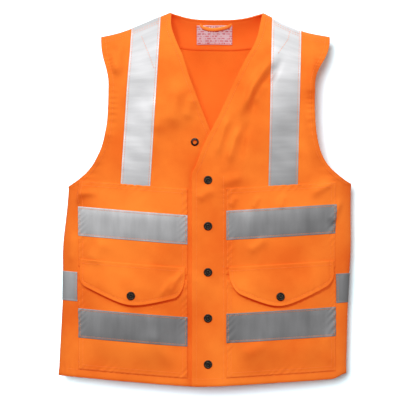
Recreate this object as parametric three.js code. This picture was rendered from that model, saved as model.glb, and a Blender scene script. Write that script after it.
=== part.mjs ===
// Blaze orange work vest with reflective tape, standing in the shape that a wearer's shoulders give it.
// Millimetres. +X is the wearer's left, -Y the wearer's front and +Z up. The origin is the middle of the
// body at the height of the neck points, where the shoulders hold the vest up.
//
// Every cloth piece is a slab laid on one form. A place on the form is (x, d): x across the body, and d the
// drop below the shoulder line. The form turns (x, d) into a point and an outward direction, and a piece is
// the cloth between two heights above the form.
import * as THREE from 'three';

// ---- sizes of the body -------------------------------------------------------------------------------
const chestWidth = 493;        // across, side seam to side seam, at the underarm
const hemWidth = 502;          // the same at the hem
const chestShift = 3.5;        // how far the chest hangs to the wearer's left of the snap line
const hemShift = -10;          // the same at the hem
const bodyLength = 656;        // neck point to hem
const halfDepth = 55;          // middle of the body to its front or back
const sectionPower = 3;        // how flat the front and back are before they turn into the sides
const shoulderRun = 180;       // drop over which the shoulders reach the full depth
const shoulderPower = 3;       // how quickly they do

// ---- sizes of the neck, shoulders and armholes -------------------------------------------------------
const neckWidth = 161;         // between the neck points
const neckShift = 15.5;        // how far the neck hangs to the wearer's left
const backNeckDip = 14.5;      // back neckline below the neck points
const shoulderDrop = 45.5;     // shoulder tip below the neck point
const shoulderFade = 150;      // drop over which the cloth's cross lines become level
const hemRiseStart = 150;      // drop where the cross lines begin to rise towards the sides
const hemRiseEnd = 320;
const hemRiseCentre = -12;
const hemRiseBlend = 30;

// An armhole's depth runs from the neck point to the underarm.
const wearersRight = {
  name: 'right', sign: -1, fallPower: 1.35, hemRise: 0.085,
  armholeDepth: 324, armholeInset: 70, tipShare: 0.8, armholePower: 6.5,
};
const wearersLeft = {
  name: 'left', sign: 1, fallPower: 1.7, hemRise: 0.062,
  armholeDepth: 317, armholeInset: 64.5, tipShare: 0.57, armholePower: 8,
};

// ---- cloth, tape and the spaces between layers -------------------------------------------------------
const cloth = 1;
const tapeThickness = 0.5;
const tapeWidth = 50.8;
const gap = 0.4;               // air left between two layers that touch
const trimGap = 0.9;           // the same under a trimming whose folds lie across those of the cloth
const facingGap = 0.6;         // the same between a front and its facing
const seamGap = 0.4;           // air left between two edges that are sewn together
const snapStack = 3.9;         // room for a closed snap between two layers
const frontLift = cloth + snapStack + cloth + facingGap;    // overlapping front above the one under it

// ---- front opening -----------------------------------------------------------------------------------
const overlap = 28;            // each front passes the snap line by this much
const facingWidth = 56;
const liftFlat = 34;           // the overlapping front stays lifted to here
const liftEnd = 130;           // and lies on the form from here
const liftStart = 40;          // drop where it begins to lift, below the shoulder
const liftFull = 200;
const hemTurn = 14;            // height of the turned hem
const underNeckline = [[0, -65], [26, -64], [54, -55], [77, -45], [112, -34], [147, -21], [184, -7], [232, 13]];
const overNeckline = [[0, 96], [51, 84], [86, 65], [126, 45.5], [187, 17.5], [229, -4.5], [271, -21]];
const necklineEnd = 288;       // both necklines have reached the front edges here

// ---- pockets and flaps -------------------------------------------------------------------------------
const pocketTop = 312;
const pocketWidth = 190;
const pocketSpace = 6;         // room inside a pocket
const pocketSlope = 10;        // width of the sloping edge that joins a pocket to the front
const rightPocketInner = 36;
const leftPocketInner = 32;
const flapTop = 450;
const flapDepth = 72;
const flapWidth = 182;
const flapThickness = 1.6;
const flapRound = 25;
const flapPocketTop = 472;     // mouth of the lower pocket, under the flap
const flapSnapDrop = 56;       // flap top to its snap

// ---- reflective tape ---------------------------------------------------------------------------------
const rightTape = { shoulder: -108, pocket: -126.5, backBand: -118 };
const leftTape = { shoulder: 137.5, pocket: 131, backBand: 128 };
const upperBandTop = { right: 358, left: 351 };
const lowerBandTop = { right: 536, left: 530.5 };
const backBandTop = 473;
const tapeTuck = 6;            // shoulder tape that runs on behind the pocket's top edge

// ---- neck trimmings ----------------------------------------------------------------------------------
const labelWidth = 62;
const labelHeight = 34;
const labelDrop = 22;
const labelThickness = 0.5;
const loopLeft = -14;
const loopSpan = 56;
const loopWidth = 6;
const loopSag = 12;
const loopThickness = 1.2;
const loopDrop = 19;

// ---- snaps -------------------------------------------------------------------------------------------
const snapCount = 5;
const firstSnap = 296;
const snapSpacing = 80.4;
const snapRadius = 7;
const capHeight = 2;
const collarRadius = 4.4;
const collarWall = 0.7;
const collarHeight = 2.6;
const flangeHeight = 0.8;
const socketClearance = 0.9;
const socketHeight = 1.5;
const prongRingInner = 4;
const snapSides = 12;
const topStudPlace = { x: -23, d: 229.6 };

const colours = {
  orange: 0xf67524, tape: 0xc4c4c2, metal: 0x3a3431, label: 0xf3dcd6,
};
const finishes = {
  cloth: new THREE.MeshStandardMaterial({ color: colours.orange, roughness: 0.85, metalness: 0 }),
  tape: new THREE.MeshStandardMaterial({ color: colours.tape, roughness: 0.45, metalness: 0.1 }),
  snap: new THREE.MeshStandardMaterial({ color: colours.metal, roughness: 0.35, metalness: 1 }),
  label: new THREE.MeshStandardMaterial({ color: colours.label, roughness: 0.7, metalness: 0 }),
};

// ---- the form ----------------------------------------------------------------------------------------
const clamp = (v, low, high) => Math.min(high, Math.max(low, v));
const lerp = (a, b, t) => a + (b - a) * t;
const ease = (start, end, v) => {
  const t = clamp((v - start) / (end - start), 0, 1);
  return t * t * (3 - 2 * t);
};
const sideOf = (x) => (x < 0 ? wearersRight : wearersLeft);
const neckPoint = (side) => neckWidth / 2 + side.sign * neckShift;
const seamAt = (side, d) => lerp(
  chestWidth / 2 + side.sign * chestShift,
  hemWidth / 2 + side.sign * hemShift,
  clamp((d - side.armholeDepth) / (bodyLength - side.armholeDepth), 0, 1),
);
const tipOf = (side) => seamAt(side, 0) - side.armholeInset * side.tipShare;

// The shoulder line falls from the neck point to the tip, steeper at the neck.
function shoulderLine(x) {
  const side = sideOf(x - neckShift);
  const t = (Math.abs(x) - neckPoint(side)) / (tipOf(side) - neckPoint(side));
  const soft = Math.min(1, (t + Math.sqrt(t * t + 0.01)) / 2);
  return -shoulderDrop * (1 - (1 - soft) ** side.fallPower);
}

// The cloth's cross lines rise from the centre front towards the side seams.
function hemLine(x) {
  const side = sideOf(x - hemRiseCentre);
  return side.hemRise * (Math.hypot(x - hemRiseCentre, hemRiseBlend) - hemRiseBlend);
}
const shoulderShare = (d) => 1 - ease(0, shoulderFade, d);
const heightAt = (x, d) => -d + shoulderLine(x) * shoulderShare(d) + hemLine(x) * ease(hemRiseStart, hemRiseEnd, d);

function dropAt(x, z) {
  let d = -z;
  for (let step = 0; step < 30; step += 1) d += heightAt(x, d) - z;
  return d;
}
const centreAt = (d) => (seamAt(wearersLeft, d) - seamAt(wearersRight, d)) / 2;
const halfWidthAt = (d) => (seamAt(wearersLeft, d) + seamAt(wearersRight, d)) / 2;

// Square of the form's depth at (x, d). It is smooth past the seam and over the shoulder, so its slope gives
// the outward direction there too.
function depthSquared(x, d) {
  const share = 1 - Math.abs(1 - Math.min(d, shoulderRun) / shoulderRun) ** shoulderPower;
  const across = Math.abs((x - centreAt(d)) / halfWidthAt(d)) ** sectionPower;
  return halfDepth ** 2 * (d < 0 ? -shoulderPower * -d / shoulderRun : share) * (1 - across);
}

function formPoint(x, d, facing, lift) {
  const z = heightAt(x, d);
  const y = facing * Math.sqrt(Math.max(0, depthSquared(x, d)));
  const small = 0.01;
  const slopeX = depthSquared(x + small, dropAt(x + small, z)) - depthSquared(x - small, dropAt(x - small, z));
  const slopeZ = depthSquared(x, dropAt(x, z + small)) - depthSquared(x, dropAt(x, z - small));
  const out = new THREE.Vector3(-slopeX / (2 * small), 2 * y, -slopeZ / (2 * small)).normalize();
  return new THREE.Vector3(x, y, z).addScaledVector(out, lift);
}

// Evenly turned places between two x at drop d, closing up towards the side seams.
function across(d, from, to, share) {
  const centre = centreAt(d);
  const half = halfWidthAt(d);
  const depth = Math.sqrt(depthSquared(centre, d));
  const most = Math.PI / 2 - seamGap / 2 / (depth * Math.sqrt(sectionPower / 2));
  const turn = (x) => clamp(Math.asin(clamp((x - centre) / half, -1, 1)), -most, most);
  return centre + half * Math.sin(lerp(turn(from), turn(to), share));
}

// ---- slabs -------------------------------------------------------------------------------------------
// A slab is a grid of cloth: place(u, v) gives (x, d), low gives the height of its inner face above the form.
function slab(us, vs, facing, place, low, thickness) {
  const points = [];
  for (const layer of [0, 1]) {
    for (const v of vs) {
      for (const u of us) {
        const [x, d] = place(u, v);
        points.push(...formPoint(x, d, facing, low(x, d) + layer * thickness).toArray());
      }
    }
  }
  const [columns, rows] = [us.length, vs.length];
  const at = (layer, row, column) => (layer * rows + row) * columns + column;
  const faces = [];
  const quad = (a, b, c, d) => faces.push(a, b, c, a, c, d);
  for (let row = 0; row + 1 < rows; row += 1) {
    for (let column = 0; column + 1 < columns; column += 1) {
      // Both faces are split along the same diagonal, so that layers laid on each other match.
      const corners = (layer) => [
        at(layer, row, column), at(layer, row + 1, column), at(layer, row + 1, column + 1), at(layer, row, column + 1),
      ];
      const [a, b, c, d] = corners(0);
      quad(...corners(1));
      quad(a, d, c, b);
    }
  }
  const edge = (a, b) => quad(at(1, ...b), at(1, ...a), at(0, ...a), at(0, ...b));
  for (let row = 0; row + 1 < rows; row += 1) {
    edge([row, 0], [row + 1, 0]);
    edge([row + 1, columns - 1], [row, columns - 1]);
  }
  for (let column = 0; column + 1 < columns; column += 1) {
    edge([0, column + 1], [0, column]);
    edge([rows - 1, column], [rows - 1, column + 1]);
  }
  if (facing > 0) faces.reverse();
  const geometry = new THREE.BufferGeometry();
  geometry.setAttribute('position', new THREE.Float32BufferAttribute(points, 3));
  geometry.setIndex(faces);
  return geometry;
}
const steps = (count, from = 0, to = 1) => Array.from({ length: count + 1 }, (_, i) => lerp(from, to, i / count));

const vest = new THREE.Group();
function piece(name, geometry, finish) {
  const mesh = new THREE.Mesh(geometry, finish);
  mesh.name = name;
  vest.add(mesh);
  return mesh;
}

const FRONT = -1;
const BACK = 1;
const ridge = 0.0008;          // the first row of cloth, a hair past the shoulder line
// Rows crowd towards the shoulder, where the form is rounded, so layers laid on each other share them.
const shoulderRows = [ridge, 2.5, 10, 22, 38, 58];
const underarms = [wearersLeft.armholeDepth, wearersRight.armholeDepth];
const upperRows = [...shoulderRows, 85, 120, 160, 200, 235, 262, 284, 302, ...underarms];
const lowerRows = steps(6, Math.max(...underarms), bodyLength).slice(1);
const bodyRows = [...upperRows, ...lowerRows];
// A front's columns: three across its facing, from 0 to 1, and then on to 2 at the side, crowding towards the
// seam, where the form turns most. The pieces on a front share them.
const facingColumns = steps(3);
const sideColumns = [0.14, 0.28, 0.42, 0.56, 0.69, 0.8, 0.88, 0.95, 1].map((u) => 1 + u);
const sideEdge = (side, d) => {
  const t = clamp(d / side.armholeDepth, 0, 1);
  const top = lerp(side.tipShare, 1, ease(0, 0.4, t));
  return side.sign * (seamAt(side, d) - side.armholeInset * top * (1 - t ** side.armholePower));
};

// ---- fronts and their facings ------------------------------------------------------------------------
// Smooth curve through a neckline's points, which runs on to the front's straight edge.
function frontEdge(points, edge, d) {
  const knots = [...points, [necklineEnd, edge], [bodyLength, edge]];
  const last = Math.max(1, knots.findIndex(([drop]) => drop >= Math.min(d, bodyLength)));
  const [d0, x0] = knots[last - 1];
  const [d1, x1] = knots[last];
  const slope = (i) => {
    const [a, b] = [knots[Math.max(0, i - 1)], knots[Math.min(knots.length - 1, i + 1)]];
    return i >= knots.length - 2 ? 0 : (b[1] - a[1]) / (b[0] - a[0]);
  };
  const t = clamp((d - d0) / (d1 - d0), 0, 1);
  const [run0, run1] = [slope(last - 1) * (d1 - d0), slope(last) * (d1 - d0)];
  return x0 * (2 * t ** 3 - 3 * t ** 2 + 1) + run0 * (t ** 3 - 2 * t ** 2 + t)
    + x1 * (3 * t ** 2 - 2 * t ** 3) + run1 * (t ** 3 - t ** 2);
}
const fronts = [
  {
    side: wearersRight, edge: (d) => frontEdge(underNeckline, overlap, d), lift: () => 0, pocketInner: rightPocketInner,
    tape: rightTape, flap: { centre: -133, outer: 0.45, inner: 0.33 },
  },
  {
    side: wearersLeft, edge: (d) => frontEdge(overNeckline, -overlap, d),
    lift: (x, d) => frontLift * (1 - ease(liftFlat, liftEnd, x)) * ease(liftStart, liftFull, d),
    pocketInner: leftPocketInner, tape: leftTape, flap: { centre: 125, outer: 0.5, inner: 0.5 },
  },
];
const onFront = (front, u, d) => {
  const stops = [front.edge(d), front.edge(d) + front.side.sign * facingWidth, sideEdge(front.side, d)];
  const part = Math.min(1, Math.floor(u));
  return across(d, stops[part], stops[part + 1], u - part);
};
// Columns run from the wearer's right to their left on both fronts.
const inOrder = (side, columns) => (side.sign < 0 ? [...columns].reverse() : columns);
for (const front of fronts) {
  const { side, lift } = front;
  const panel = slab(inOrder(side, [...facingColumns, ...sideColumns]), bodyRows, FRONT,
    (u, d) => [onFront(front, u, d), d], lift, cloth);
  piece(`${side.name}_front_panel`, panel, finishes.cloth);

  const facingRows = bodyRows.filter((d) => d < bodyLength - hemTurn);
  const facing = slab(inOrder(side, facingColumns), facingRows, FRONT,
    (u, d) => [onFront(front, u, d), d], (x, d) => lift(x, d) - cloth - facingGap, cloth);
  piece(`${side.name}_front_facing`, facing, finishes.cloth);
}

// ---- back panel and back neck facing -----------------------------------------------------------------
const neckDrop = (x) => {
  const t = Math.abs((x - neckShift) / (neckWidth / 2));
  return t < 1 ? backNeckDip * (1 - t ** 3) : 0;
};
const neckEnds = [-neckPoint(wearersRight), neckPoint(wearersLeft)];
const backEdge = [0, 0.05, 0.12, 0.22, 0.34, 0.48, 0.64, 0.82, 1];
const backColumns = [...backEdge, ...steps(7, 1, 2).slice(1), ...backEdge.map((u) => 3 - u).reverse().slice(1)];
const onBack = (u, d) => {
  const stops = [sideEdge(wearersRight, d), ...neckEnds, sideEdge(wearersLeft, d)];
  const part = Math.min(2, Math.floor(u));
  return across(d, stops[part], stops[part + 1], u - part);
};
const underNeck = (x, d) => d + neckDrop(x) * clamp(1 - d / shoulderFade, 0, 1);
const backPanel = slab(backColumns, bodyRows, BACK, (u, d) => {
  const x = onBack(u, d);
  return [x, underNeck(x, d)];
}, () => 0, cloth);
piece('back_panel', backPanel, finishes.cloth);

const backFacing = slab(steps(7, 1, 2), shoulderRows, BACK, (u, d) => {
  const x = onBack(u, d);
  return [x, underNeck(x, d)];
}, () => -cloth - gap, cloth);
piece('back_neck_facing', backFacing, finishes.cloth);

const labelLow = -cloth - gap - trimGap - labelThickness;
const label = slab(steps(3), steps(2), BACK, (u, v) => [
  lerp(neckShift - 4 - labelWidth / 2, neckShift - 4 + labelWidth / 2, u), labelDrop + labelHeight * v,
], () => labelLow, labelThickness);
piece('label', label, finishes.label);

const loopLow = labelLow - trimGap - loopThickness;
const hangLoop = slab(steps(8), steps(1), BACK, (u, v) => [
  loopLeft + loopSpan * u, loopDrop + loopSag * Math.sin(Math.PI * u) + loopWidth * v,
], () => loopLow, loopThickness);
piece('hang_loop', hangLoop, finishes.cloth);

// ---- pockets, their tape bands and flaps -------------------------------------------------------------
const pocketLow = cloth + 2 * gap;
const pocketBottom = bodyLength - hemTurn;
const breaks = (low, high, cut, count) => [low, ...steps(count, low + cut, high - cut), high];

const bandRows = steps(2, backBandTop, backBandTop + tapeWidth);

for (const front of fronts) {
  const { side, lift } = front;
  const xs = [front.pocketInner, front.pocketInner + pocketWidth].map((x) => side.sign * x).sort((a, b) => a - b);
  const columns = breaks(xs[0], xs[1], pocketSlope, 7);
  // A pocket slopes down to the front at its two sides and its bottom, and stands open at its top.
  const pocketHeight = (bottom) => (x, d) => {
    const edge = Math.min(x - xs[0], xs[1] - x, bottom - d);
    return lift(x, d) + pocketLow + pocketSpace * clamp(edge / pocketSlope, 0, 1);
  };
  const makePocket = (name, top, bottom) => {
    const rows = [...steps(4, top, bottom - pocketSlope), bottom];
    piece(name, slab(columns, rows, FRONT, (x, d) => [x, d], pocketHeight(bottom), cloth), finishes.cloth);
  };
  const upperBottom = flapPocketTop - pocketSlope;
  makePocket(`${side.name}_upper_pocket`, pocketTop, upperBottom);
  makePocket(`${side.name}_lower_pocket`, flapPocketTop, pocketBottom);

  const band = (name, top, height) => {
    const geometry = slab(columns, steps(2, top, top + tapeWidth), FRONT, (x, d) => [x, d],
      (x, d) => height(x, d) + cloth + gap, tapeThickness);
    piece(name, geometry, finishes.tape);
  };
  band(`${side.name}_upper_band`, upperBandTop[side.name], pocketHeight(upperBottom));
  band(`${side.name}_lower_band`, lowerBandTop[side.name], pocketHeight(pocketBottom));

  // The flap leans out from the upper pocket to clear its snap, and comes to a rounded point.
  const middle = front.pocketInner + pocketWidth / 2;
  const flapXs = [middle - flapWidth / 2, middle + flapWidth / 2].map((x) => side.sign * x).sort((a, b) => a - b);
  const flapLow = (x, d) => lift(x, d) + pocketLow + pocketSpace + cloth
    + lerp(gap, snapStack, ease(flapTop, flapTop + flapSnapDrop * 0.8, d));
  front.flapBottom = (x) => {
    const fall = (x - front.flap.centre) * side.sign > 0 ? front.flap.outer : front.flap.inner;
    return flapTop + flapDepth - fall * (Math.hypot(x - front.flap.centre, flapRound) - flapRound);
  };
  const flap = slab(steps(10, ...flapXs), steps(4), FRONT, (x, v) => [x, lerp(flapTop, front.flapBottom(x), v)],
    flapLow, flapThickness);
  piece(`${side.name}_flap`, flap, finishes.cloth);
  front.flapSnap = { x: front.flap.centre, d: flapTop + flapSnapDrop };

  // Side patch of the band that comes round from the back and ends at the pocket.
  const patchEnd = front.pocketInner + pocketWidth + 2;
  const bandMiddle = backBandTop + tapeWidth / 2;
  const pastPocket = sideColumns.findIndex((u) => side.sign * onFront(front, u, bandMiddle) > patchEnd + 2);
  const patchColumns = [1, ...sideColumns].slice(pastPocket);
  const patch = slab(inOrder(side, patchColumns), bandRows, FRONT, (u, d) => [
    side.sign * Math.max(side.sign * onFront(front, u, d), patchEnd), d,
  ], () => cloth + gap, tapeThickness);
  piece(`${side.name}_side_band`, patch, finishes.tape);

  // Tape over the shoulder, in two lengths that meet at the shoulder seam.
  const halfTape = tapeWidth / 2;
  const tapeRows = [...upperRows.filter((d) => d < pocketTop), pocketTop + tapeTuck];
  const frontTape = slab(steps(3), tapeRows, FRONT, (u, d) => {
    const middleLine = lerp(front.tape.shoulder, front.tape.pocket, d / pocketTop);
    return [middleLine + lerp(-halfTape, halfTape, u), d];
  }, (x, d) => lift(x, d) + cloth + trimGap, tapeThickness);
  piece(`${side.name}_front_shoulder_tape`, frontTape, finishes.tape);
  const backRows = [...bodyRows.filter((d) => d < backBandTop - 10), backBandTop - gap];
  const backTape = slab(steps(3), backRows, BACK, (u, d) => {
    const middleLine = lerp(front.tape.shoulder, front.tape.backBand, d / backBandTop);
    return [middleLine + lerp(-halfTape, halfTape, u), d];
  }, () => cloth + trimGap, tapeThickness);
  piece(`${side.name}_back_shoulder_tape`, backTape, finishes.tape);
}

const backBand = slab(backColumns, bandRows, BACK, (u, d) => [onBack(u, d), d], () => cloth + gap, tapeThickness);
piece('back_band', backBand, finishes.tape);

// ---- snaps -------------------------------------------------------------------------------------------
// Each snap has four pressed pieces: cap and socket on the upper layer, stud and prong ring on the lower one.
const turned = (profile) => new THREE.LatheGeometry(profile.map(([r, h]) => new THREE.Vector2(r, h)), snapSides);
const ring = (inner, outer, low, high) => turned([
  [inner, low], [outer, low], [outer, high], [inner, high], [inner, low],
]);
const collarInner = collarRadius - collarWall;
const studShape = () => turned([
  [collarInner, 0], [snapRadius, 0], [snapRadius, flangeHeight], [collarRadius, flangeHeight],
  [collarRadius, collarHeight], [collarInner, collarHeight], [collarInner, 0],
]);
const capShape = () => turned([
  [0, 0], [snapRadius, 0], [snapRadius, capHeight * 0.4], [snapRadius * 0.8, capHeight], [snapRadius * 0.55, capHeight * 0.9],
  [snapRadius * 0.45, capHeight * 0.6], [0, capHeight * 0.6],
]);
const socketShape = () => ring(collarRadius + socketClearance, snapRadius, 0, socketHeight);
const prongRingShape = () => ring(prongRingInner, snapRadius * 0.93, 0, flangeHeight);

// Heights are above the outer face of the lower layer, along the form's outward direction.
function snapPiece(name, geometry, place, base, height) {
  const mesh = piece(name, geometry, finishes.snap);
  const foot = formPoint(place.x, place.d, FRONT, base);
  const out = formPoint(place.x, place.d, FRONT, base + 1).sub(foot).normalize();
  mesh.quaternion.setFromUnitVectors(new THREE.Vector3(0, 1, 0), out);
  mesh.position.copy(foot).addScaledVector(out, height);
}
function snap(name, place, base, backing, covering) {
  snapPiece(`${name}_prong_ring`, prongRingShape(), place, base, -backing - gap - flangeHeight);
  snapPiece(`${name}_stud`, studShape(), place, base, gap);
  if (!covering) return;
  snapPiece(`${name}_socket`, socketShape(), place, base, snapStack - gap - socketHeight);
  snapPiece(`${name}_cap`, capShape(), place, base, snapStack + covering + gap);
}
const twoLayers = 2 * cloth + gap;
for (let count = 0; count < snapCount; count += 1) {
  snap(`front_snap_${count + 1}`, { x: 0, d: firstSnap + count * snapSpacing }, cloth, twoLayers, twoLayers);
}
snap('top', topStudPlace, cloth, twoLayers, 0);
for (const { side, flapSnap } of fronts) {
  snap(`${side.name}_flap_snap`, flapSnap, pocketLow + pocketSpace + cloth, cloth, flapThickness);
}

export default vest;
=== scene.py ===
"""Blaze orange work vest: woven cloth panels, patch pockets with flaps, reflective tape and pressed snaps.

Millimetres are used throughout and turned into metres where a mesh is made. +X is the wearer's left, -Y the
wearer's front, +Z up, and the origin lies between the neck points.
"""

import bmesh
import bpy
import numpy as np
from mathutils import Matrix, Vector


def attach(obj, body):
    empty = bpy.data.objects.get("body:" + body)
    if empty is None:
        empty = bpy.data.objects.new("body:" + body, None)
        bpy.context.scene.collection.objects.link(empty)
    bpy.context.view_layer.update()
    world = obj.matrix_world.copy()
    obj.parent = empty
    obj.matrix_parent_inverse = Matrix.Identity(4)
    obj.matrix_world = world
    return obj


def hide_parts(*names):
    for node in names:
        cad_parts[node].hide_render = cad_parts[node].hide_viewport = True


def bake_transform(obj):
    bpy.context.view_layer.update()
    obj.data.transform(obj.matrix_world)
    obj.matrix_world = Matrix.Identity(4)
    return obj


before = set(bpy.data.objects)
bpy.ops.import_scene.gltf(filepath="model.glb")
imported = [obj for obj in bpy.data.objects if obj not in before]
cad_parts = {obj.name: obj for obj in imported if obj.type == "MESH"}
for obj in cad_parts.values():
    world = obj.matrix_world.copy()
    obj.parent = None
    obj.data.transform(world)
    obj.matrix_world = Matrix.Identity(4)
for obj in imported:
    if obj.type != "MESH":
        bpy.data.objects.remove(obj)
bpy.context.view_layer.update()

FRONT, BACK = -1, 1
RIGHT, LEFT = -1, 1


# ---- Back panel ----------------------------------------------------------------------------------------
# One piece of cotton twill from the back neck to the hem, sewn to the fronts at the shoulders and sides.
# It gives the vest its form, so the form that every other piece lies on is worked out here.
CHEST_WIDTH = 493
HEM_WIDTH = 502
CHEST_SHIFT = 3.5
HEM_SHIFT = -10
BODY_LENGTH = 656
BILLOW = {RIGHT: 4.5, LEFT: 2.5}
BILLOW_DROP, BILLOW_SPREAD = 430, 55
HALF_DEPTH = 55
SECTION_POWER = 3
SHOULDER_RUN = 180
SHOULDER_POWER = 3
NECK_WIDTH = 161
NECK_SHIFT = 15.5
BACK_NECK_DIP = 14.5
SHOULDER_DROP = 45.5
SHOULDER_FADE = 150
ARMHOLE_DEPTH = {RIGHT: 324, LEFT: 317}
HEM_RISE_START, HEM_RISE_END = 150, 320
HEM_RISE_CENTRE, HEM_RISE_BLEND = -12, 30
FALL_POWER = {RIGHT: 1.35, LEFT: 1.7}
ARMHOLE_INSET = {RIGHT: 70, LEFT: 64.5}
TIP_SHARE = {RIGHT: 0.8, LEFT: 0.57}
ARMHOLE_POWER = {RIGHT: 6.5, LEFT: 8}
HEM_RISE = {RIGHT: 0.085, LEFT: 0.062}
CLOTH = 1.0
GAP = 0.4
EDGE_TURN, NECK_TURN, HEM_TURN = 9, 7, 14
EDGE_STITCH = 8
HEM_CORNER_WIDTH, HEM_CORNER_RISE, HEM_CORNER_START = 26, 8, 600
SEAM_SETTLE = 26
SHOULDER_SETTLE = (8, 55)
OUT_OF_REACH = 60
RIDGE = 0.0008


def ease(start, end, value):
    """Smooth step: 0 before start, 1 after end, and 3t^2 - 2t^3 between them."""
    t = np.clip((value - start) / (end - start), 0, 1)
    return t * t * (3 - 2 * t)


def by_side(x, values):
    """The wearer's right value where x is below 0, and the left one elsewhere."""
    return np.where(x < 0, values[RIGHT], values[LEFT])


def seam(side, d):
    """Distance from the middle to a side seam: level to the underarm, then a straight line to the hem.

    A bell curve down the side is added to it, where the seam billows out.
    """
    t = np.clip((d - ARMHOLE_DEPTH[side]) / (BODY_LENGTH - ARMHOLE_DEPTH[side]), 0, 1)
    chest, hem = CHEST_WIDTH / 2 + side * CHEST_SHIFT, HEM_WIDTH / 2 + side * HEM_SHIFT
    return chest + (hem - chest) * t + BILLOW[side] * np.exp(-(((d - BILLOW_DROP) / BILLOW_SPREAD) ** 2))


def shoulder_line(x):
    """Fall of the shoulder: drop x (1 - (1 - t)^power), where t runs from the neck point to the tip."""
    values = {}
    for side in (RIGHT, LEFT):
        neck = NECK_WIDTH / 2 + side * NECK_SHIFT
        tip = seam(side, 0) - ARMHOLE_INSET[side] * TIP_SHARE[side]
        t = (np.abs(x) - neck) / (tip - neck)
        soft = np.minimum(1, (t + np.sqrt(t * t + 0.01)) / 2)
        values[side] = -SHOULDER_DROP * (1 - (1 - soft) ** FALL_POWER[side])
    return by_side(x - NECK_SHIFT, values)


def hem_line(x):
    """Rise of the cross grain towards the sides: a hyperbola that is level at the centre front."""
    slope = by_side(x - HEM_RISE_CENTRE, HEM_RISE)
    return slope * (np.hypot(x - HEM_RISE_CENTRE, HEM_RISE_BLEND) - HEM_RISE_BLEND)


def height(x, d):
    """Z of the place (x, d): the drop, the shoulder's fall fading downwards, and the rise of the grain."""
    fall = shoulder_line(x) * (1 - ease(0, SHOULDER_FADE, d))
    return -d + fall + hem_line(x) * ease(HEM_RISE_START, HEM_RISE_END, d)


def depth_squared(x, d):
    """Square of the form's depth: a flat-fronted oval across, times a rounded run over the shoulders."""
    share = 1 - np.abs(1 - np.minimum(d, SHOULDER_RUN) / SHOULDER_RUN) ** SHOULDER_POWER
    share = np.where(d < 0, SHOULDER_POWER * d / SHOULDER_RUN, share)
    centre, half = (seam(LEFT, d) - seam(RIGHT, d)) / 2, (seam(LEFT, d) + seam(RIGHT, d)) / 2
    return HALF_DEPTH**2 * share * (1 - np.abs((x - centre) / half) ** SECTION_POWER)


def outward(x, d, y):
    """Outward direction: the slope of y^2 - depth^2, from its changes over a hundredth of a millimetre."""
    e = 0.01
    zx, zd = (height(x + e, d) - height(x - e, d)) / 2 / e, (height(x, d + e) - height(x, d - e)) / 2 / e
    qx = (depth_squared(x + e, d) - depth_squared(x - e, d)) / 2 / e
    qd = (depth_squared(x, d + e) - depth_squared(x, d - e)) / 2 / e
    normal = np.stack([qd * zx / zd - qx, 2 * y, -qd / zd], axis=-1)
    return normal / np.linalg.norm(normal, axis=-1, keepdims=True)


# Folds in the cloth: x and z at both ends, width, and height before scaling, on the fronts and on the back.
FOLD_SCALE = 2.8
FOLD_BOW = 0.12
FRONT_FOLDS = [
    (-146, -40, -170, -66, 7, -2.2), (-151, -46, -155, -112, 8, 2.4), (-166, -70, -160, -112, 6, 1.6),
    (-50, -128, -62, -205, 17, 3.2), (-84, -150, -86, -215, 10, 1.8), (-26, -150, -36, -190, 9, 1.6),
    (112, -84, 58, -176, 8, 3.0), (124, -92, 74, -180, 8, -2.0), (104, -126, 82, -164, 6, 1.8),
    (80, -120, 70, -175, 6, 1.4), (36, -186, 16, -254, 7, 2.0), (54, -206, 36, -266, 7, 2.0),
    (70, -196, 56, -262, 7, -1.4), (183, -84, 178, -150, 8, 2.2), (172, -165, 194, -265, 9, 2.0),
    (-212, -300, -228, -338, 7, 2.0), (-196, -318, -226, -322, 6, 1.4), (-240, -318, -250, -372, 7, 1.6),
    (-176, -200, -196, -270, 12, 1.6), (8, -312, -18, -330, 8, 1.4), (24, -300, 60, -290, 9, 1.4),
    (-44, -455, -67, -494, 5, 1.5), (-58, -466, -82, -498, 5, 1.1), (70, -420, 100, -398, 8, 1.2),
    (216, -300, 180, -322, 8, 1.6), (232, -330, 214, -372, 8, 1.6), (50, -325, 40, -342, 5, 1.0),
    (88, -325, 78, -345, 5, 1.2), (132, -322, 126, -345, 6, 1.0), (-236, -392, -240, -440, 8, 1.4),
    (-250, -548, -256, -600, 8, 1.4), (-180, -402, -200, -440, 12, 1.4), (206, -560, 214, -620, 10, 1.2),
    (-100, -560, -60, -620, 14, 1.0), (60, -600, 100, -580, 12, 1.0),
]
BACK_FOLDS = [
    (-150, -120, -40, -240, 22, 1.8), (160, -120, 60, -250, 22, 1.8), (-60, -360, -170, -460, 26, 1.6),
    (80, -350, 180, -470, 26, 1.4), (0, -130, 15, -330, 24, -1.4), (-190, -290, -120, -340, 16, 1.3),
    (195, -290, 130, -345, 16, 1.2), (-40, -500, -60, -640, 26, 1.4), (90, -500, 80, -640, 26, 1.3),
]


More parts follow.
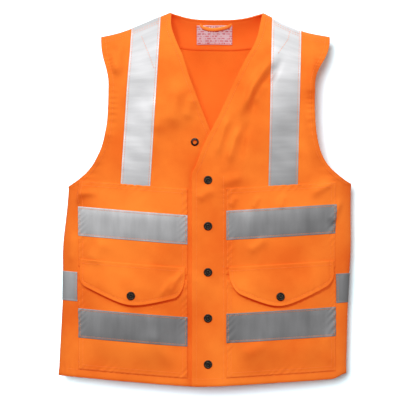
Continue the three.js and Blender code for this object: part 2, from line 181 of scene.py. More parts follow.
def folds(x, z, facing):
    """Sum of sine waves and soft ridges, each a bell curve across its bowed line that fades at both ends."""
    total = 1.4 * np.sin(x / 31 + 1.3 * np.sin(z / 83)) * np.sin(z / 47 + 0.8)
    total += 1.1 * np.sin(x / 13 - z / 29 + 2.0) * np.sin(z / 61 + x / 71)
    total += 0.34 * np.sin(x / 7.5 + z / 11 + 1.7 * np.sin(z / 37)) * np.sin(z / 23 - x / 41)
    for x0, z0, x1, z1, width, tall in FRONT_FOLDS if facing == FRONT else BACK_FOLDS:
        length = np.hypot(x1 - x0, z1 - z0)
        along = ((x - x0) * (x1 - x0) + (z - z0) * (z1 - z0)) / length**2
        aside = ((x - x0) * (z1 - z0) - (z - z0) * (x1 - x0)) / length
        bow = FOLD_BOW * length * (0.25 - (along - 0.5) ** 2)
        end = np.exp(-np.maximum(0, np.abs(along - 0.5) - 0.25) ** 2 / 0.05)
        total += FOLD_SCALE * tall * np.exp(-(((aside - bow) / width) ** 2)) * end
    return total


def laid(x, d, facing, lift):
    """Points on the form at (x, d) in millimetres, raised along its outward direction by lift and the folds.

    The folds fade out towards the side seams and the shoulder line, where the panels are sewn together.
    """
    z = height(x, d)
    y = facing * np.sqrt(np.maximum(0, depth_squared(x, d)))
    settle = ease(0, SEAM_SETTLE, seam(LEFT, d) - x) * ease(0, SEAM_SETTLE, seam(RIGHT, d) + x)
    lifted = lift + settle * ease(*SHOULDER_SETTLE, d) * folds(x, z, facing)
    return np.stack([x, y, z], axis=-1) + outward(x, d, y) * lifted[..., None]


def across(d, start, end, share):
    """x between start and end at drop d, in even turns of the section, closing up at the side seams."""
    centre, half = (seam(LEFT, d) - seam(RIGHT, d)) / 2, (seam(LEFT, d) + seam(RIGHT, d)) / 2
    depth = np.sqrt(depth_squared(centre, d))
    most = np.pi / 2 - GAP / 2 / (depth * np.sqrt(SECTION_POWER / 2))
    turns = [np.clip(np.arcsin(np.clip((x - centre) / half, -1, 1)), -most, most) for x in (start, end)]
    return centre + half * np.sin(turns[0] + (turns[1] - turns[0]) * share)


def rows_between(top, bottom, step, spare=14, crowding=0.75):
    """Drops from top to bottom, about a step apart.

    Rows that start near the shoulder line are crowded there, as the square of a count.
    """
    t = np.linspace(0, 1, int(round((bottom - top) / step)) + spare)
    tight = crowding * ease(0, 60, 60 - top)
    return top + (bottom - top) * (t * (1 - tight) + tight * t * t)


def closer_at_ends(length, edge=15, fine=1.5, coarse=3.0):
    """Fractions from 0 to 1 along a length, a fine step apart near both ends and a coarse one between."""
    close = np.arange(0, edge, fine)
    between = np.linspace(edge, length - edge, int((length - 2 * edge) / coarse) + 2)
    return np.concatenate([close, between, length - close[::-1]]) / length


def put_in(name, points, faces, uv=None):
    """A mesh object from whole arrays: points in millimetres, faces of four corners and a uv per point."""
    mesh = bpy.data.meshes.new(name)
    mesh.vertices.add(len(points))
    mesh.vertices.foreach_set("co", (points * 0.001).astype(np.float32).ravel())
    mesh.loops.add(faces.size)
    mesh.loops.foreach_set("vertex_index", faces.astype(np.int32).ravel())
    mesh.polygons.add(len(faces))
    mesh.polygons.foreach_set("loop_start", np.arange(0, faces.size, faces.shape[1], dtype=np.int32))
    mesh.polygons.foreach_set("use_smooth", np.full(len(faces), True))
    mesh.update(calc_edges=True)
    if uv is not None:
        layer = mesh.uv_layers.new(name="cloth")
        layer.data.foreach_set("uv", uv[faces.ravel()].astype(np.float32).ravel())
    mesh.validate()
    piece = bpy.data.objects.new(name, mesh)
    bpy.context.collection.objects.link(piece)
    return piece


def lattice(rows, columns):
    """Faces of a grid of points that is numbered row by row."""
    first = (np.arange(rows - 1)[:, None] * columns + np.arange(columns - 1)).ravel()
    return np.stack([first, first + columns, first + columns + 1, first + 1], axis=1)


def sheet_of_cloth(name, x, d, facing, low, thick=CLOTH, chart=None):
    """A sheet laid on the form: an outer and an inner face a thickness apart, joined by a rounded edge.

    x, d and low are grids, and low is the height of the inner face. The uv is (x, d) in metres, or the chart
    where one is given.
    """
    rows, columns = x.shape
    outer, inner = laid(x, d, facing, low + thick), laid(x, d, facing, low)
    middle = (outer + inner) / 2
    top = np.arange(columns)
    right = np.arange(rows)[1:] * columns + columns - 1
    bottom = (rows - 1) * columns + np.arange(columns)[::-1][1:]
    left = np.arange(rows)[::-1][1:-1] * columns
    ring = np.concatenate([top, right, bottom, left])
    flat = middle.reshape(-1, 3)
    inward = np.concatenate([top + columns, right - 1, bottom - columns, left + 1])
    inward[[0, columns - 1, columns + rows - 2, 2 * columns + rows - 3]] = [
        columns + 1, 2 * columns - 2, rows * columns - columns - 2, (rows - 2) * columns + 1,
    ]
    out = flat[ring] - flat[inward]
    out /= np.linalg.norm(out, axis=1, keepdims=True)
    rim = flat[ring] + out * thick / 2
    points = np.concatenate([outer.reshape(-1, 3), inner.reshape(-1, 3), rim])
    grid = lattice(rows, columns)
    after = np.roll(ring, -1)
    here = 2 * rows * columns + np.arange(len(ring))
    there = np.roll(here, -1)
    sides = [
        np.stack([ring, after, there, here], 1),
        np.stack([here, there, after + rows * columns, ring + rows * columns], 1),
    ]
    faces = np.concatenate([grid, grid[:, ::-1] + rows * columns, *sides])
    if facing > 0:
        faces = faces[:, ::-1]
    place = (np.stack([x, d], -1) * 0.001 if chart is None else chart).reshape(-1, 2)
    uv = np.concatenate([place, place, place[ring]])
    return put_in(name, points, faces, uv)


def armhole(side, d):
    """x of a panel's outer edge: the side seam less an inset that ends as 1 - t^power at the underarm."""
    t = np.clip(d / ARMHOLE_DEPTH[side], 0, 1)
    top = TIP_SHARE[side] + (1 - TIP_SHARE[side]) * ease(0, 0.4, t)
    return side * (seam(side, d) - ARMHOLE_INSET[side] * top * (1 - t ** ARMHOLE_POWER[side]))


def off_edge(x, d, edge):
    """Distance from a slanting edge x = edge(d), in the plane of the cloth."""
    slope = (edge(d + 0.5) - edge(d - 0.5))
    return np.abs(x - edge(d)) / np.sqrt(1 + slope**2)


def off_armhole(side, x, d):
    """Distance from an armhole's edge, growing past the underarm so that the turned edge ends there."""
    low = ARMHOLE_DEPTH[side]
    past = OUT_OF_REACH * ease(low - 5, low + 35, d)
    return off_edge(x, np.minimum(d, low), lambda q: armhole(side, q)) + past


def turned(distance, width=EDGE_TURN, tall=0.55):
    """A turned edge: cloth doubled over a width. It stands up, and falls to one layer past its stitching."""
    double = tall * (1 - ease(width - 1.5, width + 2.5, distance))
    return double - 0.45 * np.exp(-(((distance - width + 1) / 1.3) ** 2))


def pucker(distance, along, reach=8.0, tall=0.5):
    """Small waves across a line of stitches, which fade with distance from it."""
    waves = np.sin(along / 1.9 + 2.1 * np.sin(along / 13)) * (0.6 + 0.4 * np.sin(along / 23))
    return tall * waves * np.exp(-((distance / reach) ** 2))


def hem_corner(x, d):
    """Rise of the hem towards the wearer's left side seam, where its corner is rounded: two smooth steps."""
    beside_seam = 1 - ease(0, HEM_CORNER_WIDTH, seam(LEFT, d) - x)
    return HEM_CORNER_RISE * beside_seam * ease(HEM_CORNER_START, BODY_LENGTH, d)


def neck_drop(x):
    """Dip of the back neckline: a cubic bowl between the neck points."""
    t = np.abs((x - NECK_SHIFT) / (NECK_WIDTH / 2))
    return np.where(t < 1, BACK_NECK_DIP * (1 - t**3), 0)


def back_level(x, d):
    """Height of the back's inner face: turned armholes, neck and hem, with puckers along their stitching."""
    right, left = off_armhole(RIGHT, x, d), off_armhole(LEFT, x, d)
    neck = d - neck_drop(x) + OUT_OF_REACH * ease(60, 100, np.abs(x - NECK_SHIFT))
    hem = BODY_LENGTH - d
    return (
        turned(right) + turned(left) + turned(neck, NECK_TURN) + turned(hem, HEM_TURN)
        + pucker(right - EDGE_STITCH, d) + pucker(left - EDGE_STITCH, d) + pucker(hem - HEM_TURN, x)
    )


def rounded(columns, v):
    """A panel's grid (x, d), its rows' ends risen at the rounded corner. columns gives x at a drop."""
    d = v - hem_corner(columns(v), v)
    return columns(d), d


SHOULDER_COLUMNS, NECK_COLUMNS = 34, 46
BACK_PARTS = np.repeat([0, 1, 2], [SHOULDER_COLUMNS, NECK_COLUMNS, SHOULDER_COLUMNS + 1])
BACK_SHARES = np.concatenate([
    np.arange(SHOULDER_COLUMNS) / SHOULDER_COLUMNS, np.arange(NECK_COLUMNS) / NECK_COLUMNS,
    np.arange(SHOULDER_COLUMNS + 1) / SHOULDER_COLUMNS,
])
neck_ends = [-(NECK_WIDTH / 2 - NECK_SHIFT), NECK_WIDTH / 2 + NECK_SHIFT]


def back_columns(d):
    """x of the back's columns at drops d: even turns from armhole to neck point, neck point and armhole."""
    stops = np.stack(np.broadcast_arrays(armhole(RIGHT, d), *neck_ends, armhole(LEFT, d)))
    row, column = np.indices(d.shape)
    part = BACK_PARTS[column]
    return across(d, stops[part, row, column], stops[part + 1, row, column], BACK_SHARES)


v = rows_between(RIDGE, BODY_LENGTH, 4.0)[:, None] + 0 * BACK_SHARES
x, d = rounded(back_columns, v)
level = back_level(x, v)
d = d + neck_drop(x) * np.clip(1 - d / SHOULDER_FADE, 0, 1)
back_panel = sheet_of_cloth("back_panel_cloth", x, d, BACK, level)


def linear(colour):
    """An sRGB hex colour as linear red, green, blue and alpha."""
    parts = np.array([int(colour[i:i + 2], 16) / 255 for i in (1, 3, 5)])
    parts = np.where(parts <= 0.04045, parts / 12.92, ((parts + 0.055) / 1.055) ** 2.4)
    return (*parts.tolist(), 1.0)


def add(tree, kind, settings=None, **links):
    """Adds a node: settings are its own fields or its sockets' values, and links are sockets to take in."""
    node = tree.nodes.new(kind)
    for key, value in (settings or {}).items():
        if isinstance(key, int) or key in node.inputs:
            node.inputs[key].default_value = value
        else:
            setattr(node, key, value)
    for key, source in links.items():
        tree.links.new(source, node.inputs[int(key[1:]) if key[1:].isdigit() else key])
    return node


def ramp(tree, source, stops):
    """A colour ramp node through the given (place, colour) stops."""
    node = add(tree, "ShaderNodeValToRGB", i0=source)
    while len(node.color_ramp.elements) < len(stops):
        node.color_ramp.elements.new(0.5)
    for element, (place, colour) in zip(node.color_ramp.elements, stops):
        element.position, element.color = place, colour
    return node


def finish_named(name):
    """A new empty material, its node tree and its principled shader."""
    material = bpy.data.materials.new(name)
    material.use_nodes = True
    tree = material.node_tree
    return material, tree, tree.nodes["Principled BSDF"]


# Blaze orange cotton twill, dyed and matt: the diagonal ribs break up highlights. A faint red glow is painted
# in, painted light that keeps shaded folds red-orange rather than brown, as the fluorescent dye looks. Real
# ribs are 0.5 mm apart, and these are drawn 2 mm apart so that they show.
def blaze_twill(name, base, light):
    """A twill finish between two shades of its dye: ribs and yarn as relief, yarn and mottle as colour."""
    material, tree, shader = finish_named(name)
    uv = add(tree, "ShaderNodeUVMap", {"uv_map": "cloth"}).outputs["UV"]
    place = add(tree, "ShaderNodeTexCoord").outputs["Object"]
    ribs = add(tree, "ShaderNodeTexWave", {
        "Scale": 210.0, "Distortion": 0.6, "Detail": 1.0, "bands_direction": "DIAGONAL",
    }, Vector=uv).outputs["Fac"]
    yarn = add(tree, "ShaderNodeTexNoise", {"Scale": 900.0, "Detail": 2.0}, Vector=uv).outputs["Fac"]
    mottle = add(tree, "ShaderNodeTexNoise", {"Scale": 9.0, "Detail": 4.0, "Roughness": 0.55}, Vector=place)
    mottle = mottle.outputs["Fac"]
    fine = add(tree, "ShaderNodeMath", {"operation": "MULTIPLY_ADD", 1: 0.35}, i0=yarn, i2=mottle)
    tone = ramp(tree, fine.outputs[0], [(0.5, linear(base)), (0.82, linear(light))])
    tree.links.new(tone.outputs["Color"], shader.inputs["Base Color"])
    relief = add(tree, "ShaderNodeMath", {"operation": "MULTIPLY_ADD", 1: 0.6}, i0=yarn, i2=ribs)
    bump = add(tree, "ShaderNodeBump", {"Strength": 0.22, "Distance": 0.0003}, Height=relief.outputs[0])
    tree.links.new(bump.outputs["Normal"], shader.inputs["Normal"])
    shader.inputs["Roughness"].default_value = 0.86
    shader.inputs["Specular IOR Level"].default_value = 0.12
    shader.inputs["Sheen Weight"].default_value = 0.06
    shader.inputs["Sheen Roughness"].default_value = 0.5
    shader.inputs["Sheen Tint"].default_value = linear("#ffb066")
    # Painted light: a faint red glow, which lights the cloth in shade too.
    shader.inputs["Emission Color"].default_value = linear("#ff1800")
    shader.inputs["Emission Strength"].default_value = 0.28
    return material


def fit(piece, material, slot, body, *nodes):
    """Gives a piece its material, the nodes it stands for, and the body or bend it rides on; slot is not
    used.
    """
    piece.data.materials.append(material)
    if nodes:
        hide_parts(*nodes)
    if isinstance(body, str):
        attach(piece, body)
    else:
        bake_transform(piece)


twill = blaze_twill("blaze_orange_twill", "#bf641d", "#d07c2a")
# The facings' twill is painted a lighter orange than the outer twill: painted light for the shaded inside of
# the vest.
lining = blaze_twill("blaze_orange_twill_painted_lighter", "#d27226", "#d67c2e")
fit(back_panel, twill, "orange_cloth", "back", "back_panel")


# ---- Back neck facing ----------------------------------------------------------------------------------
# A shaped band of the same twill inside the back neck. It stiffens the neckline and carries the label.
NECK_FACING_DROP = 58
t = np.linspace(0, 1, 30)[:, None]
v = RIDGE + (NECK_FACING_DROP - RIDGE) * t**1.5
x = across(v, neck_ends[0], neck_ends[1], np.linspace(0, 1, 60)[None, :])
d = np.broadcast_to(v, x.shape) + neck_drop(x) * np.clip(1 - v / SHOULDER_FADE, 0, 1)
low = back_level(x, d) - CLOTH - GAP + 0.35 * np.exp(-((d - d[-1:]) / 2.0) ** 2)
back_facing = sheet_of_cloth("back_neck_facing_cloth", x, d, BACK, low)
fit(back_facing, lining, "orange_cloth", "back", "back_neck_facing")


# ---- Fronts --------------------------------------------------------------------------------------------
# Two twill fronts with a V neck. The wearer's left one laps over the right one by 56 mm at the snaps, and its
# placket is turned back and stitched down.
OVERLAP = 28
FACING_WIDTH = 56
FRONT_WIDTH = 270
LIFT_FLAT, LIFT_END = 34, 130
LIFT_START, LIFT_FULL = 40, 200
PLACKET_STITCHED = (250, 300)
SNAP_STACK = 3.9
FACING_GAP = 0.6
FRONT_LIFT = CLOTH + SNAP_STACK + CLOTH + FACING_GAP
NECKLINE_END = 288
NECKLINES = {
    RIGHT: [(0, -65), (26, -64), (54, -55), (77, -45), (112, -34), (147, -21), (184, -7), (232, 13)],
    LEFT: [(0, 96), (51, 84), (86, 65), (126, 45.5), (187, 17.5), (229, -4.5), (271, -21)],
}
NAMES = {RIGHT: "right", LEFT: "left"}
BENDS = {
    RIGHT: ("back", "right_front", (0, 0, -0.045), (0, 0, -0.215)),
    LEFT: ("back", "left_front", (0, 0, -0.045), (0, 0, -0.285)),
}


def front_edge(side, d):
    """x of a front's inner edge: a cubic through the neckline's points, then the straight front edge."""
    edge = -side * OVERLAP
    knots = np.array([*NECKLINES[side], (NECKLINE_END, edge), (BODY_LENGTH, edge)], float)
    slopes = np.zeros(len(knots))
    slopes[0] = (knots[1, 1] - knots[0, 1]) / (knots[1, 0] - knots[0, 0])
    slopes[1:-2] = (knots[2:-1, 1] - knots[:-3, 1]) / (knots[2:-1, 0] - knots[:-3, 0])
    i = np.clip(np.searchsorted(knots[:, 0], d) - 1, 0, len(knots) - 2)
    run = knots[i + 1, 0] - knots[i, 0]
    t = np.clip((d - knots[i, 0]) / run, 0, 1)
    return (
        knots[i, 1] * (2 * t**3 - 3 * t**2 + 1) + slopes[i] * run * (t**3 - 2 * t**2 + t)
        + knots[i + 1, 1] * (3 * t**2 - 2 * t**3) + slopes[i + 1] * run * (t**3 - t**2)
    )


def front_lift(side, x, d):
    """The left front stands off the form at the centre, over the right front and the closed snaps."""
    if side == RIGHT:
        return np.zeros(np.broadcast(x, d).shape)
    return FRONT_LIFT * (1 - ease(LIFT_FLAT, LIFT_END, x)) * ease(LIFT_START, LIFT_FULL, d)


def front_level(side, x, d):
    """Height of a front's inner face: its lift, turned edges and hem, and the placket's row of stitches."""
    arm = off_armhole(side, x, d)
    edge = off_edge(x, d, lambda q: front_edge(side, q))
    hem = BODY_LENGTH - d
    relief = turned(arm) + turned(hem, HEM_TURN) + pucker(arm - EDGE_STITCH, d) + pucker(hem - HEM_TURN, x)
    relief += turned(edge, EDGE_TURN, 0.4) + pucker(edge - EDGE_STITCH, d, 6, 0.2)
    inside = edge - FACING_WIDTH
    seam_press = pucker(inside, d, 7, 0.35) - 0.6 * np.exp(-((inside / 1.6) ** 2))
    return front_lift(side, x, d) + relief + ease(*PLACKET_STITCHED, d) * seam_press


panels = {}
for side in (RIGHT, LEFT):
    share = closer_at_ends(FRONT_WIDTH)
    v = rows_between(RIDGE, BODY_LENGTH, 2.6)[:, None] + 0 * share
    x, d = rounded(lambda d: across(d, *(armhole(side, d), front_edge(side, d))[::-side], share), v)
    panels[side] = sheet_of_cloth(f"{NAMES[side]}_front_cloth", x, d, FRONT, front_level(side, x, v))
    fit(panels[side], twill, "orange_cloth", BENDS[side], f"{NAMES[side]}_front_panel")


# ---- Front facings -------------------------------------------------------------------------------------
# Strips of twill inside both fronts, from the shoulder down the neckline and the front edge to the hem turn.
# They back the snaps and hide the neckline's raw edge.
for side in (RIGHT, LEFT):
    v = rows_between(RIDGE, BODY_LENGTH - HEM_TURN - 4, 4.0)[:, None]
    edge = front_edge(side, v)
    x = across(v, *(edge, edge + side * FACING_WIDTH)[::side], np.linspace(0, 1, 22)[None, :])
    d = np.broadcast_to(v, x.shape)
    low = front_lift(side, x, d) - CLOTH - FACING_GAP + 0.25 * turned(np.abs(x - edge), EDGE_TURN, 0.5)
    facing = sheet_of_cloth(f"{NAMES[side]}_front_facing_cloth", x, d, FRONT, low)
    fit(facing, lining, "orange_cloth", BENDS[side], f"{NAMES[side]}_front_facing")


# ---- Reflective tape -----------------------------------------------------------------------------------
# Two-inch silver tape: glass beads in a binder on a woven backing, stitched down 3 mm inside its edges. It
# runs over both shoulders, round the back, and from the side seams to the pockets.
TAPE_WIDTH = 50.8
TAPE_THICKNESS = 0.45
TAPE_GAP = 0.2
TAPE_TOP = TAPE_GAP + TAPE_THICKNESS
TAPE_STITCH = 3
POCKET_TOP = 312
TAPE_TUCK = 6
BACK_BAND_TOP = 473
TAPE_MIDDLE = {RIGHT: (-108, -126.5, -118), LEFT: (137.5, 131, 128)}
SHOULDER_LEAD, BAND_LEAD = 20, 280
POCKET_INNER = {RIGHT: 36, LEFT: 32}
POCKET_WIDTH = 190
POCKET_MARGIN = 2

# Painted light and shade on the tape, on a slant across the vest: from 0 at the wearer's left hip, painted
# darker, to 1 at the right shoulder, painted lighter.
PAINTED_TAPE_SHADE = [(place, linear(tone)) for place, tone in (
    (0.03, "#8d8d8d"), (0.22, "#868686"), (0.30, "#969696"), (0.42, "#b6b6b6"), (0.57, "#cecece"),
    (0.66, "#e8e8e8"), (0.80, "#f0f0f0"), (0.96, "#dedede"),
)]
SLANT, SLANT_SCALE, SLANT_START = -0.6, 1.5, 0.95

# Glass-bead tape: matt silver grey straight on, and brighter where it tilts to the light. Beads are 0.06 mm
# across, drawn here as 0.5 mm grain; the woven backing shows as faint cross lines, and the edges are paler.
# Its tone is painted light and shade: lighter at the wearer's right shoulder and darker towards the left hip.
silver, tree, shader = finish_named("glass_bead_silver_tape")
uv = add(tree, "ShaderNodeUVMap", {"uv_map": "cloth"}).outputs["UV"]
place = add(tree, "ShaderNodeTexCoord").outputs["Object"]
axes = add(tree, "ShaderNodeSeparateXYZ", i0=place).outputs
# Painted light and shade: the tape's tone follows a slant from the wearer's right shoulder down to the left
# hip.
slant = add(tree, "ShaderNodeMath", {"operation": "MULTIPLY_ADD", 1: SLANT}, i0=axes["X"], i2=axes["Z"])
wear_and_painted_shade = add(tree, "ShaderNodeMath", {
    "operation": "MULTIPLY_ADD", 1: SLANT_SCALE, 2: SLANT_START,
}, i0=slant.outputs[0])
painted_light_ramp = ramp(tree, wear_and_painted_shade.outputs[0], PAINTED_TAPE_SHADE)
width_way = add(tree, "ShaderNodeSeparateXYZ", i0=uv).outputs["Y"]
off_middle = add(tree, "ShaderNodeMath", {"operation": "SUBTRACT", 1: TAPE_WIDTH / 2000}, i0=width_way)
aside = add(tree, "ShaderNodeMath", {"operation": "ABSOLUTE"}, i0=off_middle.outputs[0])
towards_edge = add(tree, "ShaderNodeMath", {"operation": "MULTIPLY", 1: 36.0}, i0=aside.outputs[0])
border = ramp(tree, towards_edge.outputs[0], [
    (0.0, linear("#ececee")), (0.79, linear("#ececee")), (0.83, linear("#f8f4f8")), (1.0, linear("#ffffff")),
])
creased = add(tree, "ShaderNodeMapping", {"Scale": (1.0, 0.16, 1.0)}, Vector=uv).outputs[0]
rubbed = add(tree, "ShaderNodeTexNoise", {"Scale": 46.0, "Detail": 4.0, "Roughness": 0.55}, Vector=creased)
tone = ramp(tree, rubbed.outputs["Fac"], [(0.34, (0.78, 0.78, 0.78, 1)), (0.66, (1, 1, 1, 1))])
times = {"data_type": "RGBA", "blend_type": "MULTIPLY", 0: 1.0}
edged = add(tree, "ShaderNodeMix", times, i6=border.outputs["Color"], i7=tone.outputs["Color"])
painted_light_mix = add(tree, "ShaderNodeMix", times, i6=edged.outputs[2], i7=painted_light_ramp.outputs["Color"])
tree.links.new(painted_light_mix.outputs[2], shader.inputs["Base Color"])
beads = add(tree, "ShaderNodeTexVoronoi", {"Scale": 2000.0}, Vector=uv).outputs["Distance"]
backing = add(tree, "ShaderNodeTexWave", {"Scale": 160.0, "bands_direction": "X"}, Vector=uv).outputs["Fac"]
grain = add(tree, "ShaderNodeMath", {"operation": "MULTIPLY_ADD", 1: 0.4}, i0=backing, i2=beads)
bump = add(tree, "ShaderNodeBump", {"Strength": 0.15, "Distance": 0.0002}, Height=grain.outputs[0])
tree.links.new(bump.outputs["Normal"], shader.inputs["Normal"])
shader.inputs["Metallic"].default_value = 0.3
shader.inputs["Roughness"].default_value = 0.55


def tape_relief(u, v, length):
    """Relief of a stitched tape: a groove and puckers 3 mm inside its edges, and a slight crown between."""
    near = np.minimum(np.minimum(v, TAPE_WIDTH - v), np.minimum(u, length - u) + 0 * v)
    press = 0.3 * ease(TAPE_STITCH, 12, near) - 0.12 * np.exp(-(((near - TAPE_STITCH) / 1.3) ** 2))
    return press + pucker(near - TAPE_STITCH, u + v, 8, 0.06) * ease(0, TAPE_STITCH, near)


def lay_tape(node, x, d, facing, level, u, v, body):
    """A tape laid over a surface of the given height, with u along it and v across it in millimetres."""
    low = level + TAPE_GAP + tape_relief(u, v, u.max())
    chart = np.stack([u, v], -1) * 0.001
    tape = sheet_of_cloth(f"{node}_silver", x, d, facing, low, TAPE_THICKNESS, chart)
    fit(tape, silver, "reflective_tape", body, node)
    return tape


def tape_x(side, end, drop, d, v):
    """x on a shoulder tape: a straight line from the shoulder to end at a drop, and v across it."""
    top = TAPE_MIDDLE[side][0]
    return top + (end - top) * d / drop + v - TAPE_WIDTH / 2


edge_lines = np.arange(0, 7, 1.0)
V = np.concatenate([edge_lines, np.linspace(7, TAPE_WIDTH - 7, 17)[1:-1], TAPE_WIDTH - edge_lines[::-1]])
for side in (RIGHT, LEFT):
    name = NAMES[side]
    _, pocket_end, back_end = TAPE_MIDDLE[side]
    d = rows_between(RIDGE, POCKET_TOP + TAPE_TUCK, 2.2)[:, None] + 0 * V
    x = tape_x(side, pocket_end, POCKET_TOP, d, V)
    tape = lay_tape(f"{name}_front_shoulder_tape", x, d, FRONT, front_level(side, x, d) + CLOTH,
                    d + SHOULDER_LEAD, V + 0 * d, BENDS[side])
    d = rows_between(RIDGE, BACK_BAND_TOP - 0.4, 2.6)[:, None] + 0 * V
    x = tape_x(side, back_end, BACK_BAND_TOP, d, V)
    tape = lay_tape(f"{name}_back_shoulder_tape", x, d, BACK, back_level(x, d) + CLOTH,
                    d + SHOULDER_LEAD, V + 0 * d, "back")

    v = BACK_BAND_TOP + V[:, None]
    pocket_side = side * (POCKET_INNER[side] + POCKET_WIDTH + POCKET_MARGIN)
    x = across(v, *(pocket_side, side * seam(side, v))[::side], np.linspace(0, 1, 22)[None, :])
    d = v + 0 * x
    tape = lay_tape(f"{name}_side_band", x, d, FRONT, front_level(side, x, d) + CLOTH,
                    SHOULDER_LEAD + np.abs(x - pocket_side), d - BACK_BAND_TOP, BENDS[side])

v = BACK_BAND_TOP + V[:, None]
x = across(v, -seam(RIGHT, v), seam(LEFT, v), np.linspace(0, 1, 200)[None, :])
d = v + 0 * x
tape = lay_tape("back_band", x, d, BACK, back_level(x, d) + CLOTH, x + BAND_LEAD, d - BACK_BAND_TOP, "back")


# ---- Pockets -------------------------------------------------------------------------------------------
# Patch pockets of the same twill on each front: a chest-high one and a lower one below it, stitched down
# round their sides and bottoms, with some room inside. A tape band is stitched across each.
POCKET_ROOM = 6.45
POCKET_LIFT = CLOTH + 0.35
POCKET_FALL = 50
POCKET_STITCHES = (2, 8)
UPPER_BOTTOM = 462
MOUTH = 472
MOUTH_TURN = 16
POCKET_BOTTOM = BODY_LENGTH - HEM_TURN
POCKET_PARTS = (("upper", POCKET_TOP, UPPER_BOTTOM), ("lower", MOUTH, POCKET_BOTTOM))
FLAP_TOP = 450
BAND_TOPS = {RIGHT: (358, 536), LEFT: (351, 530.5)}


def pocket_rise(side, x):
    """Swell of a pocket across its width: 0 at its stitched sides, 1 from 50 mm inside them."""
    inside = side * x - POCKET_INNER[side]
    return ease(0, POCKET_FALL, np.minimum(inside, POCKET_WIDTH - inside))


def pocket_level(side, x, d, top, bottom):
    """Height of a pocket's inner face: it swells over the front, and its stitched edges press down."""
    inside = side * x - POCKET_INNER[side]
    near = np.minimum(inside, POCKET_WIDTH - inside)
    near = np.minimum(near, bottom - d if bottom == POCKET_BOTTOM else d - top)
    if bottom == POCKET_BOTTOM:
        swell = ease(0, POCKET_FALL, bottom - d) + 0 * x
        turn = turned(d - top, MOUTH_TURN, 0.6)
    else:
        swell = ease(0, POCKET_FALL * 1.3, d - top) * (1 - ease(UPPER_BOTTOM - 7, UPPER_BOTTOM, d)) + 0 * x
        turn = 0
    off_row = near - POCKET_STITCHES[0]
    press = -0.25 * (1 - ease(0, 1.5, near)) - 0.22 * np.exp(-((off_row / 1.2) ** 2))
    press = press + pucker(off_row, x + d, 11, 0.6)
    return front_lift(side, x, d) + POCKET_LIFT + POCKET_ROOM * pocket_rise(side, x) * swell + press + turn


def pocket_start(side):
    """x of a pocket's edge at the wearer's right."""
    return min(side * POCKET_INNER[side], side * (POCKET_INNER[side] + POCKET_WIDTH))


def pocket_middle(side):
    """x of a pocket's middle."""
    return side * (POCKET_INNER[side] + POCKET_WIDTH / 2)


for side in (RIGHT, LEFT):
    name, start = NAMES[side], pocket_start(side)
    columns = start + closer_at_ends(POCKET_WIDTH) * POCKET_WIDTH
    for (part, top, bottom), band_top in zip(POCKET_PARTS, BAND_TOPS[side]):
        d = (top + closer_at_ends(bottom - top) * (bottom - top))[:, None] + 0 * columns
        x = columns + 0 * d
        level = pocket_level(side, x, d, top, bottom)
        pocket = sheet_of_cloth(f"{name}_{part}_pocket_cloth", x, d, FRONT, level)
        fit(pocket, twill, "orange_cloth", BENDS[side], f"{name}_{part}_pocket")
        u = np.linspace(0, POCKET_WIDTH, 110)
        x = start + u + 0 * V[:, None]
        d = band_top + V[:, None] + 0 * u
        level = pocket_level(side, x, d, top, bottom) + CLOTH
        band = lay_tape(f"{name}_{part}_band", x, d, FRONT, level, u + 0 * d, V[:, None] + 0 * u, BENDS[side])


# ---- Pocket flaps --------------------------------------------------------------------------------------
# A flap of doubled twill hangs from a seam on each upper pocket and closes over the lower one. It comes to a
# rounded point at its snap.
FLAP_DEPTH = 72
FLAP_WIDTH = 182
FLAP_THICKNESS = 1.6
FLAP_ROUND = 25
FLAP_CORNERS = {RIGHT: ((20, 38), (12, 14)), LEFT: ((22, 34), (16, 16))}
FLAP_SNAP_DROP = 56
FLAP_CENTRE = {RIGHT: -133, LEFT: 125}
FLAP_FALL = {RIGHT: (0.33, 0.45), LEFT: (0.5, 0.5)}
FLAP_STITCH = 6
FLAP_LINES = 48
FLAP_HINGE = 15
FLAP_BODY = {RIGHT: "right_pocket_flap", LEFT: "left_pocket_flap"}
FLAP_ROOT = -0.4475
FLAP_BENDS = {
    side: (f"{NAMES[side]}_front", FLAP_BODY[side], (0, 0, FLAP_ROOT), (0, 0, FLAP_ROOT - FLAP_HINGE / 1000))
    for side in (RIGHT, LEFT)
}


def flap_bottom(side, x):
    """Drop of a flap's lower edge: a hyperbola about its snap, with corners rounded as quarter ellipses."""
    inner, outer = FLAP_FALL[side]
    fall = np.where((x - FLAP_CENTRE[side]) * side > 0, outer, inner)
    line = FLAP_TOP + FLAP_DEPTH - fall * (np.hypot(x - FLAP_CENTRE[side], FLAP_ROUND) - FLAP_ROUND)
    off_centre = x * side - POCKET_INNER[side] - POCKET_WIDTH / 2
    for end, (wide, tall) in zip((-1, 1), FLAP_CORNERS[side]):
        t = np.clip((end * off_centre - FLAP_WIDTH / 2 + wide) / wide, 0, 1)
        line = line - tall * (1 - np.sqrt(1 - t * t * 0.999))
    return line


def flap_level(side, x, d):
    """Height of a flap's inner face: it leans out to clear the snap, and its edge is pressed."""
    lean = GAP + (SNAP_STACK - GAP) * ease(FLAP_TOP, FLAP_TOP + FLAP_SNAP_DROP * 0.8, d)
    off_centre = np.abs(x - pocket_middle(side))
    near = np.minimum(FLAP_WIDTH / 2 - off_centre, (flap_bottom(side, x) - d) * 0.92)
    off_row = near - FLAP_STITCH
    curl = 0.5 * (1 - ease(0, 5, near)) - 0.35 * np.exp(-((off_row / 1.3) ** 2)) + pucker(off_row, x, 9, 0.6)
    return front_lift(side, x, d) + POCKET_LIFT + POCKET_ROOM * pocket_rise(side, x) + CLOTH + lean + curl


